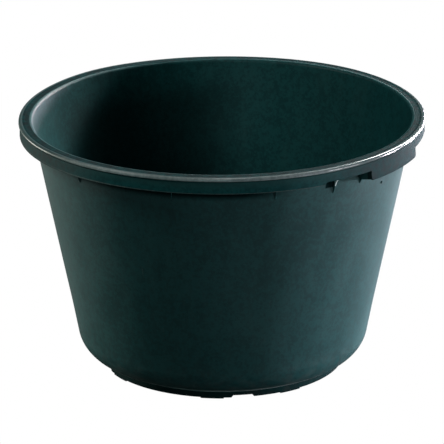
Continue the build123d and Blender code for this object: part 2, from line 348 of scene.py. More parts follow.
def make_side_wall():
    """Wall with a blind dimple under each grip."""
    dimple_z = HEIGHT - DIMPLE_DEPTH_BELOW
    dimple_r = wall_r(dimple_z)
    length = math.hypot(WALL_TOP[0] - CORNER_TOP[0], WALL_TOP[1] - CORNER_TOP[1])
    dimple_share = (dimple_z - CORNER_TOP[1]) / (WALL_TOP[1] - CORNER_TOP[1])
    fine = dimple_share + np.arange(-3.6, 3.61, DIMPLE_STEP) / length
    coarse = [s for s in np.linspace(0, 1, 42)[1:-1] if abs(s - dimple_share) > 5.5 / length]

    section = Section(CORNER_TOP)
    section.line_at(WALL_TOP, sorted([*fine, *coarse]))
    section.line(WALL_TOP_IN)
    section.line(CORNER_TOP_IN, parts=40)
    section.line(CORNER_TOP)
    step = math.degrees(DIMPLE_STEP / dimple_r)
    angles = {round(a, 5) for a in np.arange(0, 360, 1.0) if min(a % 180, 180 - a % 180) > 0.99}
    angles |= {round(c + k * step, 5) % 360 for c in (0, 180) for k in range(-9, 10)}
    vertices, faces, normals = revolve(section.closed(), sorted(angles))

    near_dimple = np.zeros(len(vertices), bool)
    for side in (0.0, math.pi):
        cos, sin = math.cos(side), math.sin(side)
        centre = np.array([dimple_r * cos, dimple_r * sin, dimple_z])
        normal = np.array([cos_draft * cos, cos_draft * sin, -sin_draft])
        away = vertices - centre
        spread = np.linalg.norm(away - np.outer(away @ normal, normal), axis=1)
        radius = np.hypot(vertices[:, 0], vertices[:, 1])
        on_outside = np.abs(radius - wall_r(vertices[:, 2])) < 1e-3
        chosen = on_outside & (spread < 5) & (np.linalg.norm(away, axis=1) < 8)
        ring_height, ring_r, ring_width = DIMPLE_RING
        depth = (DIMPLE_SINK * (1 - smooth(*DIMPLE_EDGE, spread))
                 - ring_height * np.exp(-((spread - ring_r) / ring_width) ** 2))
        vertices[chosen] -= np.outer(depth[chosen], normal)
        near_dimple |= chosen

    # normals near the dimples come from the mesh, elsewhere from the section
    mesh = make_object("side_wall", vertices, faces).data
    corners = corner_indices(faces)
    normals = warp_normals(vertices[corners], normals)
    mesh_normals = np.zeros(len(mesh.vertices) * 3, np.float32)
    mesh.vertex_normals.foreach_get("vector", mesh_normals)
    from_mesh = near_dimple[corners]
    normals[from_mesh] = mesh_normals.reshape(-1, 3)[corners][from_mesh]
    set_normals(mesh, normals)


# ------------------------------------------------------------------ base
def make_base_corner():
    centre = (CORNER_FOOT[0], BASE_Z + CORNER_R)
    wall_angle = angle_of(CORNER_TOP, centre)
    section = Section(CORNER_TOP)
    section.arc(centre, CORNER_R, wall_angle, -90, 40)
    section.line((CORNER_FOOT[0], BASE_Z + WALL))
    section.arc(centre, CORNER_R - WALL, -90, wall_angle, 40, inside=True)
    section.line(CORNER_TOP)
    make_object("base_corner", *revolve(section.closed()))


PLATE_RADII = (CORNER_FOOT[0], 168.5, 150, 120, 90, 60, 32)
# gate mark under the plate's centre: radius, height above the underside
GATE_MARK = ((16.2, 0.0), (15.4, 0.06), (15.0, 0.3), (14.7, 0.75), (14.2, 0.9), (9.0, 0.9),
             (5.0, 0.9), (4.3, 0.75), (4.02, 0.3), (3.95, -0.3), (3.6, -0.56), (3.0, -0.6),
             (1.4, -0.45), (0, -0.5))


def make_base_plate():
    """A disc built from a top and an underside profile, each running from the rim to the axis."""
    top = [(r, BASE_Z + WALL) for r in (*PLATE_RADII, 16, 6, 0)]
    bottom = [(r, BASE_Z) for r in PLATE_RADII] + [(r, BASE_Z + rise) for r, rise in GATE_MARK]
    turns = [math.radians(a) for a in np.arange(0, 360, 2.0)]
    count = len(turns)
    vertices, sides = [], []
    for profile in (top, bottom):
        rings = []
        for r, z in profile[:-1]:
            rings.append(range(len(vertices), len(vertices) + count))
            vertices += [(r * math.cos(t), r * math.sin(t), z) for t in turns]
        sides.append((rings, len(vertices)))
        vertices.append((0.0, 0.0, profile[-1][1]))
    faces = []
    (top_rings, top_pole), (low_rings, low_pole) = sides
    for k in range(count):
        after = (k + 1) % count
        for rings, pole, i, j in ((top_rings, top_pole, k, after), (low_rings, low_pole, after, k)):
            faces += [(a[i], a[j], b[j], b[i]) for a, b in zip(rings[:-1], rings[1:])]
            faces.append((rings[-1][i], rings[-1][j], pole))
        faces.append((low_rings[0][k], low_rings[0][after], top_rings[0][after], top_rings[0][k]))
    make_object("base_plate", np.array(vertices, float), faces)


# ------------------------------------------------------------------ rim lip
LAND_PARTS = 10
LAND_SINK = 0.22     # the flat land between the lip's two roundings sinks by this much
BEAD_EDGE_ROUND = 1.0


def make_rim_lip():
    inner_tangent = LIP_INNER_ROUND * math.tan((math.pi / 2 - draft) / 2)
    edge_r = wall_r(HEIGHT) - WALL / cos_draft
    inner_start = (edge_r - inner_tangent * sin_draft, HEIGHT - inner_tangent * cos_draft)
    inner_centre = (edge_r + inner_tangent, HEIGHT - LIP_INNER_ROUND)
    small = BEAD_EDGE_ROUND

    section = Section(WALL_TOP)
    section.line(UNDER_START, parts=2)
    section.arc(UNDER_CENTRE, LIP_UNDER_ROUND, angle_of(UNDER_START, UNDER_CENTRE) % 360, 90, 8,
                inside=True)
    section.line((BEAD_IN - small, FLANGE_Z), parts=2)
    section.arc((BEAD_IN - small, FLANGE_Z - small), small, 90, 0, 4, inside=True)
    section.line((BEAD_IN, SKIRT_TOP_Z))
    section.line((RIM_R - small, SKIRT_TOP_Z))
    section.arc((RIM_R - small, SKIRT_TOP_Z + small), small, -90, 0, 6)
    section.line((RIM_R, HEIGHT - BEAD_ROUND))
    section.arc((RIM_R - BEAD_ROUND, HEIGHT - BEAD_ROUND), BEAD_ROUND, 0, 90, 16)

    land_start = RIM_R - BEAD_ROUND
    land_run = inner_centre[0] - land_start

    def land_normal(share):
        tilt = LAND_SINK * math.pi * math.sin(2 * math.pi * share) / land_run
        return (tilt / math.hypot(tilt, 1), 1 / math.hypot(tilt, 1))

    for k in range(1, LAND_PARTS + 1):
        share = k / LAND_PARTS
        section.edge((land_start + land_run * share,
                      HEIGHT - LAND_SINK * math.sin(math.pi * share) ** 2),
                     land_normal((k - 1) / LAND_PARTS), land_normal(share))
    section.arc(inner_centre, LIP_INNER_ROUND, 90, angle_of(inner_start, inner_centre) % 360, 16)
    section.line(WALL_TOP_IN, parts=2)
    section.line(WALL_TOP)
    make_object("rim_lip", *revolve(section.closed(), list(np.arange(0, 360, 0.75))))


# ------------------------------------------------------------------ hanging band: skirt and grips
def band_section(low, lip):
    """Section of the band down to z = low. lip is the width of an inward return along its edge."""
    edge, shoulder, groove = 1.4, 1.1, 0.4      # radii of the roundings
    section = Section((SKIRT_IN, SKIRT_TOP_Z))
    section.line((NECK_R, SKIRT_TOP_Z))
    section.line((NECK_R, GROOVE_Z + groove))
    section.arc((NECK_R + groove, GROOVE_Z + groove), groove, 180, 270, 4, inside=True)
    section.line((SKIRT_R - shoulder + 0.001, GROOVE_Z))
    section.arc((SKIRT_R - shoulder, GROOVE_Z - shoulder), shoulder, 90, 0, 6)
    outer = skirt_r(low + edge)
    section.line((outer, low + edge), parts=4)
    section.arc((outer - edge, low + edge), edge, 0, -90, 6)
    inner = skirt_r(low) - SKIRT_T
    if lip:
        tip, fillet = 1.2, 1.5
        lip_in = inner - lip
        section.line((lip_in + tip, low), parts=2)
        section.arc((lip_in + tip, low + tip), tip, -90, -180, 5)
        section.line((lip_in, low + 1.6))
        section.arc((lip_in + tip, low + 1.6), tip, 180, 90, 5)
        section.line((inner - fillet, low + 2.8))
        section.arc((inner - fillet, low + 4.3), fillet, -90, 0, 4, inside=True)
    else:
        section.line((inner + edge, low))
        section.arc((inner + edge, low + edge), edge, -90, -180, 6)
    section.line((SKIRT_IN, GROOVE_Z), parts=4)
    section.line((SKIRT_IN, SKIRT_TOP_Z))
    return section.closed()


def band(start, end, low_at, extra, lip=0.0):
    """Band between two angles; low_at gives its lower edge, extra adds stops to the 0.6 grid."""
    grid = np.linspace(start, end, int((end - start) / 0.6) + 1)
    angles = sorted(set(np.round([*grid, *extra], 5)))
    return sweep([band_section(low_at(a), lip) for a in angles], angles)


def skirt_low(angle):
    """The skirt's lower edge, higher beside the grips."""
    from_grip = abs((angle + 90) % 180 - 90)
    share = smooth(RECESS_HALF - 1.1, RECESS_HALF + 0.5, from_grip)
    return HEIGHT - (RECESS_DEPTH + (SKIRT_DEPTH - RECESS_DEPTH) * share)


def make_rim_skirt():
    runs = []
    for grip in (0, 180):
        start = grip + GRIP_HALF
        extra = [c + step for c in (grip + RECESS_HALF, grip + 180 - RECESS_HALF)
                 for step in np.arange(-1.3, 1.31, 0.1)]
        runs.append(band(start, start + 180 - 2 * GRIP_HALF, skirt_low, extra))
    make_object("rim_skirt", *joined(runs))


# ------------------------------------------------------------------ radial plates
PLATE_SINK = 0.9     # how far a plate's edge sits inside the wall


def plate(outline, thickness, angle, bevel):
    """Radial plate: a counter-clockwise outline (r, z) given a thickness and softened edges."""
    points = np.array(outline, float)
    count = len(points)

    def inset(distance):
        moved = []
        for i in range(count):
            before, here, after = points[i - 1], points[i], points[(i + 1) % count]
            inwards = []
            for start, end in ((before, here), (here, after)):
                way = (end - start) / np.linalg.norm(end - start)
                inwards.append(np.array([-way[1], way[0]]))
            mitre = inwards[0] + inwards[1]
            mitre = mitre / max(1e-6, np.dot(mitre, inwards[0]))
            if np.linalg.norm(mitre) > 2.2:
                mitre = mitre / np.linalg.norm(mitre) * 2.2
            moved.append(here + mitre * distance)
        return moved

    half = thickness / 2
    levels = [(-half, bevel), (-half + bevel * 0.3, bevel * 0.3), (-half + bevel, 0.0),
              (half - bevel, 0.0), (half - bevel * 0.3, bevel * 0.3), (half, bevel)]
    cos, sin = math.cos(math.radians(angle)), math.sin(math.radians(angle))
    vertices = [(r * cos - y * sin, r * sin + y * cos, z)
                for y, distance in levels for r, z in inset(distance)]
    faces = []
    for low in range(0, (len(levels) - 1) * count, count):
        high = low + count
        for i in range(count):
            j = (i + 1) % count
            faces.append((high + i, high + j, low + j, low + i))
    faces.append(tuple(range(count)))
    faces.append(tuple(reversed(range((len(levels) - 1) * count, len(levels) * count))))
    return np.array(vertices), faces


def plate_top(into_skirt, drop=0.0):
    """A plate's upper outline, set into skirt, bead, flange and wall."""
    return [(SKIRT_IN + into_skirt, SKIRT_TOP_Z - 0.4), (BEAD_IN - 0.4, SKIRT_TOP_Z - drop),
            (BEAD_IN - 0.4, FLANGE_Z + 0.4), (UNDER_CENTRE[0] - 1.0, FLANGE_Z + 0.4),
            (wall_r(FLANGE_Z - 3) - PLATE_SINK, FLANGE_Z - 3)]


GUSSET_T = 2.6
# hollow free edge: depth below the rim's top, distance out from the wall
GUSSET_EDGE = ((43.0, 0.0), (42.2, 0.7), (38.0, 1.5), (33.0, 2.3), (29.0, 3.4), (26.0, 5.0),
               (23.5, 8.5))
GUSSET_TOE = 20.0    # depth where the free edge meets the skirt
# the same for the gussets next to the grips
GUSSET_EDGE_GRIP = ((48.0, 0.0), (47.0, 0.9), (42.0, 1.9), (35.0, 2.9), (29.5, 4.2), (26.0, 6.0),
                    (23.5, 8.8), (21.4, 12.4))
GUSSET_TOE_GRIP = 17.8


def gusset_outline(edge, toe):
    foot = HEIGHT - edge[0][0]
    return [(wall_r(foot) - PLATE_SINK, foot),
            *((wall_r(HEIGHT - depth) + out, HEIGHT - depth) for depth, out in edge),
            (skirt_r(HEIGHT - toe) - SKIRT_T + 0.5, HEIGHT - toe), *plate_top(into_skirt=0.5)]


def make_rim_gussets():
    plain = gusset_outline(GUSSET_EDGE, GUSSET_TOE)
    by_grip = gusset_outline(GUSSET_EDGE_GRIP, GUSSET_TOE_GRIP)
    parts = []
    for angle in GUSSET_ANGLES:
        outline = by_grip if angle in (GUSSET_ANGLES[0], GUSSET_ANGLES[-1]) else plain
        parts += [plate(outline, GUSSET_T, turn, bevel=0.5) for turn in (angle, -angle)]
    sharpen_edges(make_object("rim_gussets", *joined(parts)), 32)


# ------------------------------------------------------------------ hand grips
def union(parts):
    """One solid from several closed meshes in millimetres."""
    obs = [link_mesh(f"grip_part_{k}", *part) for k, part in enumerate(parts)]
    for ob in obs[1:]:
        modifier = obs[0].modifiers.new("union", "BOOLEAN")
        modifier.operation = "UNION"
        modifier.solver = "EXACT"
        modifier.object = ob
    bpy.context.view_layer.update()
    graph = bpy.context.evaluated_depsgraph_get()
    solid = bpy.data.meshes.new_from_object(obs[0].evaluated_get(graph), depsgraph=graph)
    vertices = np.zeros(len(solid.vertices) * 3)
    solid.vertices.foreach_get("co", vertices)
    faces = [tuple(p.vertices) for p in solid.polygons]
    for ob in obs:
        mesh = ob.data
        bpy.data.objects.remove(ob)
        bpy.data.meshes.remove(mesh)
    bpy.data.meshes.remove(solid)
    return vertices.reshape(-1, 3), faces


def make_grip(node, centre):
    """A deeper band with an inward lip, a web at each end and a rib in the middle."""
    corner_round = 4.0

    def low_at(angle):
        """Lower edge, rounded up at the grip's ends."""
        from_end = (GRIP_HALF - off_centre(angle, centre)) * math.pi / 180 * 298
        if from_end >= corner_round:
            return GRIP_Z
        over = corner_round - max(from_end, 0.0)
        return GRIP_Z + corner_round - math.sqrt(max(corner_round * corner_round - over * over, 0.0))

    start, end = centre - GRIP_HALF, centre + GRIP_HALF
    near_end = np.arange(0.02, 0.9, 0.08)
    grip_band = band(start, end, low_at, [*(start + near_end), *(end - near_end)], lip=GRIP_LIP)
    parts = [grip_band[:2]]

    upper = plate_top(into_skirt=0.9, drop=0.02)
    outer = skirt_r(GRIP_Z)
    foot = HEIGHT - GRIP_WEB_FOOT
    knee = HEIGHT - GRIP_DEPTH - 3.0
    web = [(wall_r(foot) - PLATE_SINK, foot), (wall_r(foot) + 0.7, foot + 0.5),
           (wall_r(knee) + 3.0, knee), (outer - SKIRT_T - 0.6, GRIP_Z + 1.2),
           (outer - SKIRT_T + 0.9, GRIP_Z + 3.6)] + upper
    inset = math.degrees((GRIP_WEB_T / 2 + 0.06) / 297)
    for side in (-1, 1):
        parts.append(plate(web, GRIP_WEB_T, centre + side * (GRIP_HALF - inset), bevel=0.4))
    foot = HEIGHT - GRIP_MID_FOOT
    rib = [(wall_r(foot) - PLATE_SINK, foot), (wall_r(foot) + 1.0, foot + 0.4),
           (outer - SKIRT_T - GRIP_LIP + 0.8, GRIP_Z + 1.9),
           (outer - SKIRT_T + 0.9, GRIP_Z + 1.9)] + upper
    parts.append(plate(rib, GUSSET_T, centre, bevel=0.4))
    sharpen_edges(make_object(node, *union(parts)), 30)


# ------------------------------------------------------------------ foot ring and floor pads
def strip_section(inner, outer, low, rounding, tops, side_parts=1):
    """A standing strip with a rounded lower edge. tops are the heights of its outer, inner side."""
    section = Section((outer, tops[0]))
    section.line((outer, low + rounding), parts=side_parts)
    section.arc((outer - rounding, low + rounding), rounding, 0, -90, 4)
    section.line((inner + rounding, low))
    section.arc((inner + rounding, low + rounding), rounding, -90, -180, 4)
    section.line((inner, tops[1]), parts=side_parts)
    section.line((outer, tops[0]))
    return section.closed()


def foot_low(angle):
    """The foot's lower edge, raised in the notches."""
    from_notch = min(off_centre(angle, a) for a in NOTCH_ANGLES)
    share = 1 - smooth(NOTCH_WIDTH / 2 - 0.9, NOTCH_WIDTH / 2 + 0.35, from_notch)
    return FOOT_Z + (NOTCH_Z - FOOT_Z) * share


def make_foot_ring():
    angles = list(np.arange(0, 360, 0.9))
    for notch in NOTCH_ANGLES:
        for side in (-1, 1):
            angles += [(notch + side * NOTCH_WIDTH / 2 + step) % 360
                       for step in np.arange(-1.0, 0.61, 0.16)]
    angles = sorted(set(np.round(angles, 4)))
    kept = angles[:1]
    for angle in angles[1:]:
        if angle - kept[-1] > 0.05:
            kept.append(angle)
    sections = [strip_section(FOOT_IN, FOOT_OUT, foot_low(a), 0.7, tops=(12.9, 12.4), side_parts=2)
                for a in kept]
    make_object("foot_ring", *sweep(sections, kept, full_ring=True))


def make_floor_pads():
    """Curved pads under the foot ring, rounded all round their lower edge."""
    rounding = 0.5
    half = PAD_WIDTH / 2
    stops = np.array([-half, -half + 0.06, -half + 0.22, *np.linspace(-half + 0.8, half - 0.8, 12),
                      half - 0.22, half - 0.06, half])
    sections = []
    for stop in stops:
        from_end = (half - abs(stop)) * math.pi / 180 * 176
        over = max(0.0, rounding - from_end)
        lift = rounding - math.sqrt(max(rounding ** 2 - over * over, 0.0))
        sections.append(strip_section(PAD_IN + lift * 0.8, PAD_OUT - lift * 0.8, lift, rounding,
                                      tops=(FOOT_Z + 0.3, FOOT_Z + 0.3)))
    make_object("floor_pads", *joined([sweep(sections, a + stops) for a in PAD_ANGLES]))


make_side_wall()
make_base_corner()
make_base_plate()
make_rim_lip()
make_rim_skirt()
make_rim_gussets()
make_grip("hand_grip_right", 0.0)
make_grip("hand_grip_left", 180.0)
make_foot_ring()
make_floor_pads()


# ------------------------------------------------------------------ shader tools
class Nodes:
    """An emptied node tree with short ways to add nodes. A value may be a number or a socket."""

    def __init__(self, owner):
        owner.use_nodes = True
        self.tree = owner.node_tree
        self.tree.nodes.clear()

    def new(self, kind, inputs=None, **settings):
        node = self.tree.nodes.new(kind)
        for key, value in settings.items():
            setattr(node, key, value)
        for key, value in (inputs or {}).items():
            if isinstance(value, bpy.types.NodeSocket):
                self.tree.links.new(value, node.inputs[key])
            else:
                node.inputs[key].default_value = value
        return node

    def math(self, operation, *values):
        return self.new("ShaderNodeMath", dict(enumerate(values)), operation=operation).outputs[0]

    def product(self, first, *others):
        for other in others:
            first = self.math("MULTIPLY", first, other)
        return first

    def more(self, base, mask, share):
        """base + mask * share"""
        return self.math("ADD", base, self.product(mask, share))

    def less(self, base, mask, share):
        """base - mask * share"""
        return self.math("SUBTRACT", base, self.product(mask, share))

    def weighted(self, first, *others):
        """Sum of (value, weight) pairs."""
        total = self.product(*first)
        for value, weight in others:
            total = self.more(total, value, weight)
        return total

    def noise(self, vector, scale, detail, rough, distort=0.0):
        inputs = {"Scale": scale, "Detail": detail, "Roughness": rough, "Distortion": distort,
                  "Vector": vector}
        return self.new("ShaderNodeTexNoise", inputs).outputs["Fac"]

    def mapping(self, vector, scale):
        return self.new("ShaderNodeMapping", {"Vector": vector, "Scale": scale}).outputs[0]

    def ramp(self, value, start, end):
        """0 at start rising smoothly to 1 at end, which may be the smaller of the two."""
        inputs = {"Value": value, "From Min": start, "From Max": end}
        return self.new("ShaderNodeMapRange", inputs, interpolation_type="SMOOTHSTEP").outputs[0]

    def mix_shaders(self, share, first, second):
        inputs = {0: share, 1: first.outputs[0], 2: second.outputs[0]}
        return self.new("ShaderNodeMixShader", inputs)


# ------------------------------------------------------------------ tub plastic
class TubPlastic(Nodes):
    """Dark teal polyethylene. Colours are linear RGBA; masks run from 0 to 1."""

    def __init__(self, material):
        super().__init__(material)
        self.find_noises()
        self.find_places()
        self.pigment()
        self.dust_and_scratches()
        self.rim_wear_and_highlight()
        self.painted_band_light()
        self.shade_under_band()
        self.foot_knocks_and_painted_light()
        self.inside_shade()
        self.finish()

    def tint(self, mask, colour, strength=None):
        """Mixes a colour over what there is so far."""
        amount = mask if strength is None else self.product(mask, strength)
        self.colour = self.new("ShaderNodeMix", {0: amount, 6: self.colour, 7: colour},
                               data_type="RGBA").outputs[2]

    def toward(self, x, y):
        """Cosine between the direction out from the axis and a level direction (x, y)."""
        along = self.math("ADD", self.product(self.x, x), self.product(self.y, y))
        return self.math("DIVIDE", along, self.radius)

    def mottled(self, base, share):
        return self.more(base, self.mottle, share)

    def find_noises(self):
        self.pos = self.new("ShaderNodeTexCoord").outputs["Object"]
        streaks = self.mapping(self.pos, scale=(60.0, 60.0, 2.2))
        self.cloud = self.noise(self.pos, scale=5.0, detail=3.0, rough=0.55)
        self.blotch = self.noise(self.pos, scale=17.0, detail=4.0, rough=0.6, distort=0.3)
        self.streak = self.noise(streaks, scale=1.0, detail=4.0, rough=0.6)
        self.grain = self.noise(self.pos, scale=900.0, detail=2.0, rough=0.6)
        self.speck = self.noise(self.pos, scale=95.0, detail=3.0, rough=0.65)
        self.fine = self.noise(self.pos, scale=230.0, detail=3.0, rough=0.7)
        mottle = self.noise(self.pos, scale=120.0, detail=4.0, rough=0.7)
        self.mottle = self.ramp(mottle, start=0.35, end=0.65)

    def find_places(self):
        """Masks for parts of the tub and for the sides it turns to."""
        self.x, self.y, self.z = self.new("ShaderNodeSeparateXYZ", {"Vector": self.pos}).outputs
        squares = self.math("ADD", self.product(self.x, self.x), self.product(self.y, self.y))
        self.radius = radius = self.math("SQRT", squares)
        self.phi = self.math("ARCTAN2", self.y, self.x)
        normal = self.new("ShaderNodeNewGeometry").outputs["True Normal"]
        normal_x, normal_y, _ = self.new("ShaderNodeSeparateXYZ", {"Vector": normal}).outputs
        turned_out = self.toward(normal_x, normal_y)
        self.outside = self.ramp(turned_out, start=0.02, end=0.20)
        self.inside = self.ramp(turned_out, start=0.0, end=-0.3)
        self.bead = self.product(self.ramp(radius, start=0.2943, end=0.2950),
                                 self.ramp(self.z, start=0.3735, end=0.3745))
        self.land = self.product(self.ramp(radius, start=0.2950, end=0.2943),
                                 self.ramp(radius, start=0.2835, end=0.2845),
                                 self.ramp(self.z, start=0.3755, end=0.3765))
        # the hanging band, and what lies behind it
        self.band = self.product(self.ramp(radius, start=0.2905, end=0.2925),
                                 self.ramp(self.z, start=0.3745, end=0.3735))
        self.behind = self.product(self.ramp(radius, start=0.2905, end=0.2890),
                                   self.ramp(self.z, start=0.3745, end=0.3735))
        # the camera's side, and a direction turned a little to its left
        self.front = self.ramp(self.toward(x=0.4540, y=-0.8910), start=0.60, end=0.93)
        self.facing = self.toward(x=0.2079, y=-0.9781)

    def pigment(self):
        tone = self.weighted((self.cloud, 0.12), (self.blotch, 0.16), (self.speck, 0.30),
                             (self.fine, 0.42))
        self.colour = (0.0038, 0.0420, 0.0440, 1)
        self.tint(self.ramp(tone, start=0.44, end=0.56), colour=(0.0064, 0.0640, 0.0655, 1))
        self.tint(self.ramp(self.streak, start=0.45, end=0.75), strength=0.25,
                  colour=(0.020, 0.085, 0.084, 1))

    def dust_and_scratches(self):
        """Dry dust near the floor and patches of fine scuffing."""
        dusty = self.noise(self.pos, scale=60.0, detail=5.0, rough=0.65)
        self.dust = self.product(self.ramp(self.z, start=0.075, end=0.0),
                                 self.ramp(dusty, start=0.42, end=0.70))
        self.tint(self.dust, strength=0.35, colour=(0.10, 0.115, 0.105, 1))
        upright = self.mapping(self.pos, scale=(420.0, 420.0, 11.0))
        lines = self.noise(upright, scale=1.0, detail=2.0, rough=0.4, distort=0.4)
        patches = self.noise(self.pos, scale=11.0, detail=2.0, rough=0.5)
        self.scratch = self.product(self.ramp(lines, start=0.66, end=0.74),
                                    self.ramp(patches, start=0.50, end=0.68))
        self.tint(self.scratch, strength=0.25, colour=(0.05, 0.085, 0.085, 1))

    def rim_wear_and_highlight(self):
        """Rubbed grey top, polished bead, and a painted highlight: the bead's outer shoulder made
        pale on the camera's side.
        """
        self.tint(self.land, strength=self.mottled(base=0.50, share=0.45),
                  colour=(0.010, 0.015, 0.016, 1))
        self.tint(self.bead, strength=self.mottled(base=0.45, share=0.45),
                  colour=(0.050, 0.070, 0.070, 1))
        # painted highlight: the bead's outer shoulder paler on the camera's side only
        outermost = self.ramp(self.radius, start=0.2969, end=0.2976)
        self.tint(self.product(self.bead, outermost, self.front),
                  strength=self.mottled(base=0.55, share=0.35), colour=(0.30, 0.36, 0.36, 1))

    def painted_band_light(self):
        """Painted light on the band: paler towards the top on the camera's side, greyer elsewhere as
        a painted sheen, and a painted highlight along the lower edge.
        """
        # painted light: the band's upper part paler on the camera's side
        upper = self.ramp(self.z, start=0.360, end=0.373)
        self.tint(self.product(upper, self.band, self.front), strength=0.70,
                  colour=(0.022, 0.075, 0.075, 1))
        # painted sheen: the band greyer away from the camera's side
        self.tint(self.product(self.band, self.math("SUBTRACT", 1.0, self.front)),
                  strength=self.mottled(base=0.50, share=0.38), colour=(0.0240, 0.0310, 0.0330, 1))
        # painted highlight along the band's lower edge, strongest on the camera's side
        sideways = self.math("DIVIDE", self.math("ABSOLUTE", self.x), self.radius)
        edge = self.product(self.ramp(self.z, start=0.3577, end=0.3567),
                            self.ramp(self.z, start=0.3545, end=0.3550), self.band,
                            self.ramp(sideways, start=0.9775, end=0.9765),
                            self.more(0.25, self.front, share=0.75))
        self.tint(edge, strength=self.mottled(base=0.40, share=0.6),
                  colour=(0.100, 0.135, 0.132, 1))

    def shade_under_band(self):
        """Painted shadow: a dark tint under the band on the camera's side and by one rib; and a
        painted highlight on that rib's edge."""
        below = self.product(self.ramp(self.z, start=0.3360, end=0.3475),
                             self.ramp(self.z, start=0.3575, end=0.3560),
                             self.ramp(self.facing, start=0.74, end=0.90))
        by_rib = self.product(self.product(self.ramp(self.phi, start=-0.4560, end=-0.4430),
                                           self.ramp(self.phi, start=-0.3975, end=-0.4000)),
                              self.product(self.ramp(self.z, start=0.3418, end=0.3435),
                                           self.ramp(self.z, start=0.3575, end=0.3560)))
        self.under = self.product(self.math("MAXIMUM", below, by_rib), self.behind, self.outside)
        self.tint(self.under, strength=0.88, colour=(0.0006, 0.0030, 0.0034, 1))
        # painted highlight: the edge of the rib beside the grip made pale
        rib_phi = -0.3927       # radians, the gusset at -22.5 degrees
        from_rib = self.math("ABSOLUTE", self.math("ADD", self.phi, -rib_phi))
        rib = self.product(self.ramp(from_rib, start=0.0100, end=0.0085),
                           self.product(self.ramp(self.radius, start=0.2790, end=0.2798),
                                        self.ramp(self.z, start=0.3575, end=0.3560)))
        self.tint(self.product(rib, self.behind), strength=0.90, colour=(0.50, 0.62, 0.60, 1))

    def foot_knocks_and_painted_light(self):
        """A pale line above the foot as a painted highlight, painted shade on the foot, two old
        knocks in the wall.
        """
        broken = self.noise(self.pos, scale=75.0, detail=3.0, rough=0.6)
        # painted highlight: a pale broken line just above the foot, strongest on the camera's side
        line = self.product(
            self.ramp(self.z, start=0.0104, end=0.0114),
            self.ramp(self.z, start=0.0205, end=0.0165),
            self.more(0.45, self.ramp(broken, start=0.42, end=0.58), share=0.55),
            self.outside,
            self.more(0.20, self.ramp(self.facing, start=0.05, end=0.45), share=0.80))
        self.tint(line, colour=(0.460, 0.560, 0.540, 1))
        # painted shade: the foot ring and pads made dark
        self.painted_foot_shade = self.ramp(self.z, start=0.0110, end=0.0100)
        self.tint(self.painted_foot_shade, strength=0.72, colour=(0.0040, 0.0080, 0.0082, 1))
        # angle in radians, height, half width in radians, half height, strength
        knocks = ((-1.220, 0.0250, 0.0055, 0.0085, 0.45), (-1.494, 0.2120, 0.0045, 0.0110, 0.35))
        for phi, z, wide, high, strength in knocks:
            across = self.math("ABSOLUTE", self.math("SUBTRACT", self.phi, phi))
            along = self.math("ABSOLUTE", self.math("SUBTRACT", self.z, z))
            knock = self.product(self.ramp(across, start=wide, end=wide * 0.3),
                                 self.ramp(along, start=high, end=high * 0.5), self.outside,
                                 self.ramp(self.fine, start=0.35, end=0.55))
            self.tint(knock, strength=strength, colour=(0.110, 0.170, 0.165, 1))

    def inside_shade(self):
        """The inside is darker, most of all on its -X side, turned a little to +Y."""
        deep = self.product(self.ramp(self.toward(x=-0.8829, y=0.4695), start=0.76, end=0.97),
                            self.ramp(self.z, start=0.366, end=0.310))
        self.tint(self.product(self.inside, deep), strength=0.60,
                  colour=(0.0003, 0.0012, 0.0014, 1))
        self.tint(self.inside, strength=0.12, colour=(0.0004, 0.0020, 0.0022, 1))

    def finish(self):
        """Roughness, specular level and bump."""
        # the side towards -X and -Y, at the camera's left
        left = self.ramp(self.toward(x=-0.7431, y=-0.6691), start=0.30, end=0.72)
        rough = self.more(0.43, self.math("SUBTRACT", self.blotch, 0.5), share=0.12)
        for mask, share in ((self.dust, 0.15), (self.scratch, 0.1)):
            rough = self.more(rough, mask, share)
        rough = self.less(rough, self.bead, self.less(0.22, left, share=0.20))
        for mask, share in ((self.land, 0.25), (self.band, 0.22), (self.inside, 0.04),
                            (self.painted_foot_shade, 0.30)):
            rough = self.more(rough, mask, share)

        specular = self.less(0.60, self.math("MAXIMUM", self.painted_foot_shade, self.under), share=0.58)
        for mask, share in ((self.band, self.less(0.58, self.front, share=0.06)),
                            (self.land, 0.57), (self.product(self.bead, left), 0.42),
                            (self.inside, 0.47)):
            specular = self.less(specular, mask, share)

        # heights in metres
        wave = self.noise(self.pos, scale=26.0, detail=2.0, rough=0.5)
        height = self.weighted((self.grain, 0.000035), (wave, 0.00016), (self.streak, 0.00005))
        height = self.less(height, self.scratch, share=0.00003)
        bump = self.new("ShaderNodeBump", {"Strength": 0.55, "Distance": 1.0, "Height": height})
        surface = self.new("ShaderNodeBsdfPrincipled", {
            "Base Color": self.colour, "Roughness": rough, "Normal": bump.outputs[0], "IOR": 1.5,
            "Specular IOR Level": self.math("MAXIMUM", specular, 0.005)})
        self.new("ShaderNodeOutputMaterial", {"Surface": surface.outputs[0]})


tub_material = bpy.data.materials.new("tub_polyethylene")
TubPlastic(tub_material)
for node, ob in pieces.items():
    ob.data.materials.clear()
    ob.data.materials.append(tub_material)
    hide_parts(node)
    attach(ob, "root")
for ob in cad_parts.values():
    ob.data.materials.clear()
    ob.data.materials.append(tub_material)

# ------------------------------------------------------------------ lights
scene = bpy.context.scene
CAMERA_SIDE = math.radians(32.0)   # the camera's direction, turned from -Y towards +X
WHITE = (1, 1, 1)


def around(azimuth, elevation, distance, target=(0, 0, 0.2)):
    """A point seen from the target; azimuth counts from the camera, positive to its right."""
    turn = CAMERA_SIDE + math.radians(azimuth)
    rise = math.radians(elevation)
    return Vector(target) + Vector((distance * math.cos(rise) * math.sin(turn),
                                    -distance * math.cos(rise) * math.cos(turn),
                                    distance * math.sin(rise)))


